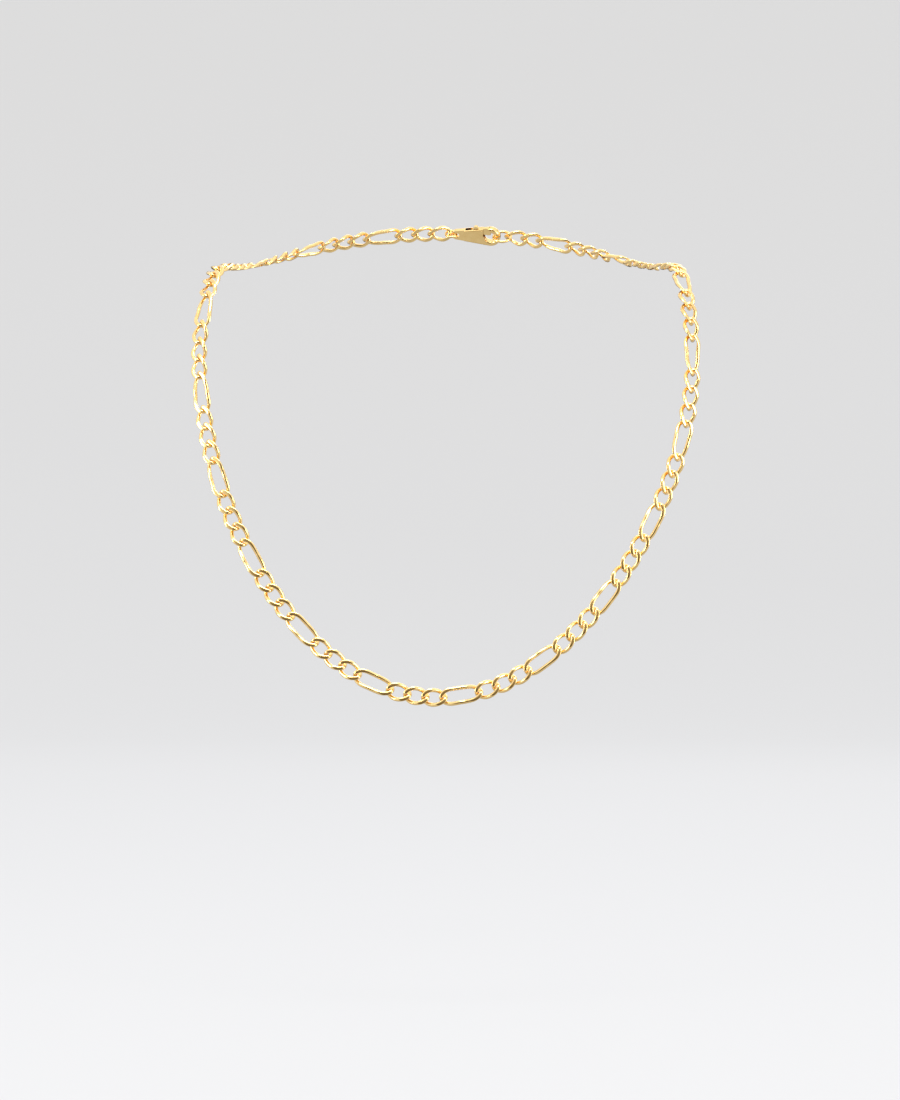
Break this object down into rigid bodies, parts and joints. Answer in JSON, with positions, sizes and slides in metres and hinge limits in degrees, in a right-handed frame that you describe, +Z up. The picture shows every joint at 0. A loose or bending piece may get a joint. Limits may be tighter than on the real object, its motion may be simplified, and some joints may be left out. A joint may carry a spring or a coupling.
{
  "type": "chain necklace",
  "caption": "Figaro chain necklace: runs of small twisted oval links between longer ones, linked into a loop worn round the neck and closed at the nape by a sprung claw clasp.",
  "frame": {"origin": "centre of the neck opening, level with the top of the shoulders that the loop lies on", "axes": "+Z up, +Y to the back of the neck, +X to the right as seen from the front"},
  "size_m": [0.1664, 0.1173, 0.1638],
  "materials": {
    "polished_gold_links": "polished",
    "polished_gold_clasp": "polished",
    "spring_steel": "satin"
  },
  "bodies": {
    "worn_chain": {"clasp_claw_body": "polished_gold_clasp", "clasp_end_ring": "polished_gold_clasp", "clasp_lever_pin": "polished_gold_clasp", "clasp_lever_spring": "spring_steel", "clasp_tail_ring": "polished_gold_clasp", "left_nape_small_links": "polished_gold_links", "left_resting_long_link_1": "polished_gold_links", "left_resting_long_link_2": "polished_gold_links", "left_resting_long_link_3": "polished_gold_links", "left_resting_long_link_4": "polished_gold_links", "left_resting_long_link_5": "polished_gold_links", "left_resting_long_link_6": "polished_gold_links", "left_resting_small_links_1": "polished_gold_links", "left_resting_small_links_2": "polished_gold_links", "left_resting_small_links_3": "polished_gold_links", "right_nape_small_links": "polished_gold_links", "right_resting_long_link_1": "polished_gold_links", "right_resting_long_link_2": "polished_gold_links", "right_resting_long_link_3": "polished_gold_links", "right_resting_long_link_4": "polished_gold_links", "right_resting_long_link_5": "polished_gold_links", "right_resting_small_links_1": "polished_gold_links", "right_resting_small_links_2": "polished_gold_links", "right_resting_small_links_3": "polished_gold_links"},
    "left_long_link_16": {"left_long_link_16": "polished_gold_links"},
    "left_small_link_15": {"left_small_link_15": "polished_gold_links"},
    "left_small_link_14": {"left_small_link_14": "polished_gold_links"},
    "left_small_link_13": {"left_small_link_13": "polished_gold_links"},
    "left_long_link_12": {"left_long_link_12": "polished_gold_links"},
    "left_small_link_11": {"left_small_link_11": "polished_gold_links"},
    "left_small_link_10": {"left_small_link_10": "polished_gold_links"},
    "left_small_link_09": {"left_small_link_09": "polished_gold_links"},
    "left_long_link_08": {"left_long_link_08": "polished_gold_links"},
    "left_small_link_07": {"left_small_link_07": "polished_gold_links"},
    "left_small_link_06": {"left_small_link_06": "polished_gold_links"},
    "left_small_link_05": {"left_small_link_05": "polished_gold_links"},
    "left_long_link_04": {"left_long_link_04": "polished_gold_links"},
    "left_small_link_03": {"left_small_link_03": "polished_gold_links"},
    "left_small_link_02": {"left_small_link_02": "polished_gold_links"},
    "left_small_link_01": {"left_small_link_01": "polished_gold_links"},
    "right_long_link_16": {"right_long_link_16": "polished_gold_links"},
    "right_small_link_15": {"right_small_link_15": "polished_gold_links"},
    "right_small_link_14": {"right_small_link_14": "polished_gold_links"},
    "right_small_link_13": {"right_small_link_13": "polished_gold_links"},
    "right_long_link_12": {"right_long_link_12": "polished_gold_links"},
    "right_small_link_11": {"right_small_link_11": "polished_gold_links"},
    "right_small_link_10": {"right_small_link_10": "polished_gold_links"},
    "right_small_link_09": {"right_small_link_09": "polished_gold_links"},
    "right_long_link_08": {"right_long_link_08": "polished_gold_links"},
    "right_small_link_07": {"right_small_link_07": "polished_gold_links"},
    "right_small_link_06": {"right_small_link_06": "polished_gold_links"},
    "right_small_link_05": {"right_small_link_05": "polished_gold_links"},
    "right_long_link_04": {"right_long_link_04": "polished_gold_links"},
    "right_small_link_03": {"right_small_link_03": "polished_gold_links"},
    "right_small_link_02": {"right_small_link_02": "polished_gold_links"},
    "right_small_link_01": {"right_small_link_01": "polished_gold_links"},
    "lowest_long_link": {"lowest_long_link": "polished_gold_links"},
    "clasp_lever": {"clasp_lever": "polished_gold_clasp"}
  },
  "joints": [
    {"name": "left_fold_16", "type": "hinge", "parent": "worn_chain", "child": "left_long_link_16", "pos_m": [-0.0756, -0.03921, -0.066], "axis": [-0.9968, -0.0152, -0.0784], "range_deg": [-25, 25]},
    {"name": "right_fold_16", "type": "hinge", "parent": "worn_chain", "child": "right_long_link_16", "pos_m": [0.07791, -0.03686, -0.05392], "axis": [-0.9968, -0.0152, -0.0784], "range_deg": [-25, 25]},
    {"name": "left_fold_15", "type": "hinge", "parent": "left_long_link_16", "child": "left_small_link_15", "pos_m": [-0.07226, -0.04131, -0.0768], "axis": [0.9966, 0.0157, 0.0809], "range_deg": [-25, 25]},
    {"name": "right_fold_15", "type": "hinge", "parent": "right_long_link_16", "child": "right_small_link_15", "pos_m": [0.07502, -0.03898, -0.06484], "axis": [0.9966, 0.0157, 0.0809], "range_deg": [-25, 25]},
    {"name": "left_fold_14", "type": "hinge", "parent": "left_small_link_15", "child": "left_small_link_14", "pos_m": [-0.07023, -0.04234, -0.08213], "axis": [-0.9965, -0.016, -0.0825], "range_deg": [-25, 25]},
    {"name": "right_fold_14", "type": "hinge", "parent": "right_small_link_15", "child": "right_small_link_14", "pos_m": [0.07321, -0.04003, -0.07025], "axis": [-0.9965, -0.016, -0.0825], "range_deg": [-25, 25]},
    {"name": "left_fold_13", "type": "hinge", "parent": "left_small_link_14", "child": "left_small_link_13", "pos_m": [-0.06799, -0.04336, -0.08738], "axis": [0.9963, 0.0164, 0.0845], "range_deg": [-25, 25]},
    {"name": "right_fold_13", "type": "hinge", "parent": "right_small_link_14", "child": "right_small_link_13", "pos_m": [0.07117, -0.04107, -0.07558], "axis": [0.9963, 0.0164, 0.0845], "range_deg": [-25, 25]},
    {"name": "left_fold_12", "type": "hinge", "parent": "left_small_link_13", "child": "left_long_link_12", "pos_m": [-0.06552, -0.04437, -0.09254], "axis": [-0.9961, -0.0169, -0.0868], "range_deg": [-25, 25]},
    {"name": "right_fold_12", "type": "hinge", "parent": "right_small_link_13", "child": "right_long_link_12", "pos_m": [0.06891, -0.04209, -0.08083], "axis": [-0.9961, -0.0169, -0.0868], "range_deg": [-25, 25]},
    {"name": "left_fold_11", "type": "hinge", "parent": "left_long_link_12", "child": "left_small_link_11", "pos_m": [-0.06003, -0.04629, -0.10245], "axis": [0.9956, 0.018, 0.0924], "range_deg": [-25, 25]},
    {"name": "right_fold_11", "type": "hinge", "parent": "right_long_link_12", "child": "right_small_link_11", "pos_m": [0.06384, -0.04406, -0.09096], "axis": [0.9956, 0.018, 0.0924], "range_deg": [-25, 25]},
    {"name": "left_fold_10", "type": "hinge", "parent": "left_small_link_11", "child": "left_small_link_10", "pos_m": [-0.05693, -0.04723, -0.10727], "axis": [-0.9952, -0.0186, -0.0958], "range_deg": [-25, 25]},
    {"name": "right_fold_10", "type": "hinge", "parent": "right_small_link_11", "child": "right_small_link_10", "pos_m": [0.06099, -0.04502, -0.09592], "axis": [-0.9952, -0.0186, -0.0958], "range_deg": [-25, 25]},
    {"name": "left_fold_09", "type": "hinge", "parent": "left_small_link_10", "child": "left_small_link_09", "pos_m": [-0.05361, -0.04814, -0.11193], "axis": [0.9948, 0.0194, 0.0996], "range_deg": [-25, 25]},
    {"name": "right_fold_09", "type": "hinge", "parent": "right_small_link_10", "child": "right_small_link_09", "pos_m": [0.05795, -0.04597, -0.10076], "axis": [0.9948, 0.0194, 0.0996], "range_deg": [-25, 25]},
    {"name": "left_fold_08", "type": "hinge", "parent": "left_small_link_09", "child": "left_long_link_08", "pos_m": [-0.05004, -0.04901, -0.11642], "axis": [-0.9944, -0.0202, -0.1037], "range_deg": [-25, 25]},
    {"name": "right_fold_08", "type": "hinge", "parent": "right_small_link_09", "child": "right_long_link_08", "pos_m": [0.05471, -0.04688, -0.10549], "axis": [-0.9944, -0.0202, -0.1037], "range_deg": [-25, 25]},
    {"name": "left_fold_07", "type": "hinge", "parent": "left_long_link_08", "child": "left_small_link_07", "pos_m": [-0.04221, -0.05062, -0.12469], "axis": [0.9934, 0.0219, 0.1128], "range_deg": [-25, 25]},
    {"name": "right_fold_07", "type": "hinge", "parent": "right_long_link_08", "child": "right_small_link_07", "pos_m": [0.04775, -0.04863, -0.11447], "axis": [0.9934, 0.0219, 0.1128], "range_deg": [-25, 25]},
    {"name": "left_fold_06", "type": "hinge", "parent": "left_small_link_07", "child": "left_small_link_06", "pos_m": [-0.03787, -0.05135, -0.12847], "axis": [-0.9928, -0.0229, -0.1179], "range_deg": [-25, 25]},
    {"name": "right_fold_06", "type": "hinge", "parent": "right_small_link_07", "child": "right_small_link_06", "pos_m": [0.04393, -0.04946, -0.11876], "axis": [-0.9928, -0.0229, -0.1179], "range_deg": [-25, 25]},
    {"name": "left_fold_05", "type": "hinge", "parent": "left_small_link_06", "child": "left_small_link_05", "pos_m": [-0.03327, -0.05202, -0.13193], "axis": [0.9921, 0.024, 0.1233], "range_deg": [-25, 25]},
    {"name": "right_fold_05", "type": "hinge", "parent": "right_small_link_06", "child": "right_small_link_05", "pos_m": [0.03989, -0.05026, -0.12284], "axis": [0.9921, 0.024, 0.1233], "range_deg": [-25, 25]},
    {"name": "left_fold_04", "type": "hinge", "parent": "left_small_link_05", "child": "left_long_link_04", "pos_m": [-0.02839, -0.05262, -0.13501], "axis": [-0.9913, -0.0251, -0.1292], "range_deg": [-25, 25]},
    {"name": "right_fold_04", "type": "hinge", "parent": "right_small_link_05", "child": "right_long_link_04", "pos_m": [0.0356, -0.051, -0.12668], "axis": [-0.9913, -0.0251, -0.1292], "range_deg": [-25, 25]},
    {"name": "left_fold_03", "type": "hinge", "parent": "left_long_link_04", "child": "left_small_link_03", "pos_m": [-0.01793, -0.05353, -0.1397], "axis": [0.9896, 0.0275, 0.1413], "range_deg": [-25, 25]},
    {"name": "right_fold_03", "type": "hinge", "parent": "right_long_link_04", "child": "right_small_link_03", "pos_m": [0.02635, -0.0523, -0.13338], "axis": [0.9896, 0.0275, 0.1413], "range_deg": [-25, 25]},
    {"name": "left_fold_02", "type": "hinge", "parent": "left_small_link_03", "child": "left_small_link_02", "pos_m": [-0.01233, -0.05382, -0.14119], "axis": [-0.9888, -0.0285, -0.1466], "range_deg": [-25, 25]},
    {"name": "right_fold_02", "type": "hinge", "parent": "right_small_link_03", "child": "right_small_link_02", "pos_m": [0.02131, -0.05285, -0.13621], "axis": [-0.9888, -0.0285, -0.1466], "range_deg": [-25, 25]},
    {"name": "left_fold_01", "type": "hinge", "parent": "left_small_link_02", "child": "left_small_link_01", "pos_m": [-0.0066, -0.05399, -0.14204], "axis": [0.9881, 0.0293, 0.1509], "range_deg": [-25, 25]},
    {"name": "right_fold_01", "type": "hinge", "parent": "right_small_link_02", "child": "right_small_link_01", "pos_m": [0.01604, -0.05332, -0.13858], "axis": [0.9881, 0.0293, 0.1509], "range_deg": [-25, 25]},
    {"name": "lowest_fold", "type": "hinge", "parent": "left_small_link_01", "child": "lowest_long_link", "pos_m": [-0.0008, -0.05402, -0.14221], "axis": [-0.9875, -0.0301, -0.1548], "range_deg": [-25, 25]},
    {"name": "clasp_lever_pivot", "type": "hinge", "parent": "worn_chain", "child": "clasp_lever", "pos_m": [0.00925, 0.05755, 0.01606], "axis": [0.1381, 0.756, 0.6398], "range_deg": [0, 18], "stiffness_Nm_per_rad": 0.008, "springref_deg": -17.19, "deforming": ["clasp_lever_spring"]}
  ],
  "couplings": [
    {"joint": "right_fold_16", "follows": "left_fold_16", "ratio": 1},
    {"joint": "right_fold_15", "follows": "left_fold_15", "ratio": 1},
    {"joint": "right_fold_14", "follows": "left_fold_14", "ratio": 1},
    {"joint": "right_fold_13", "follows": "left_fold_13", "ratio": 1},
    {"joint": "right_fold_12", "follows": "left_fold_12", "ratio": 1},
    {"joint": "right_fold_11", "follows": "left_fold_11", "ratio": 1},
    {"joint": "right_fold_10", "follows": "left_fold_10", "ratio": 1},
    {"joint": "right_fold_09", "follows": "left_fold_09", "ratio": 1},
    {"joint": "right_fold_08", "follows": "left_fold_08", "ratio": 1},
    {"joint": "right_fold_07", "follows": "left_fold_07", "ratio": 1},
    {"joint": "right_fold_06", "follows": "left_fold_06", "ratio": 1},
    {"joint": "right_fold_05", "follows": "left_fold_05", "ratio": 1},
    {"joint": "right_fold_04", "follows": "left_fold_04", "ratio": 1},
    {"joint": "right_fold_03", "follows": "left_fold_03", "ratio": 1},
    {"joint": "right_fold_02", "follows": "left_fold_02", "ratio": 1},
    {"joint": "right_fold_01", "follows": "left_fold_01", "ratio": 1}
  ]
}
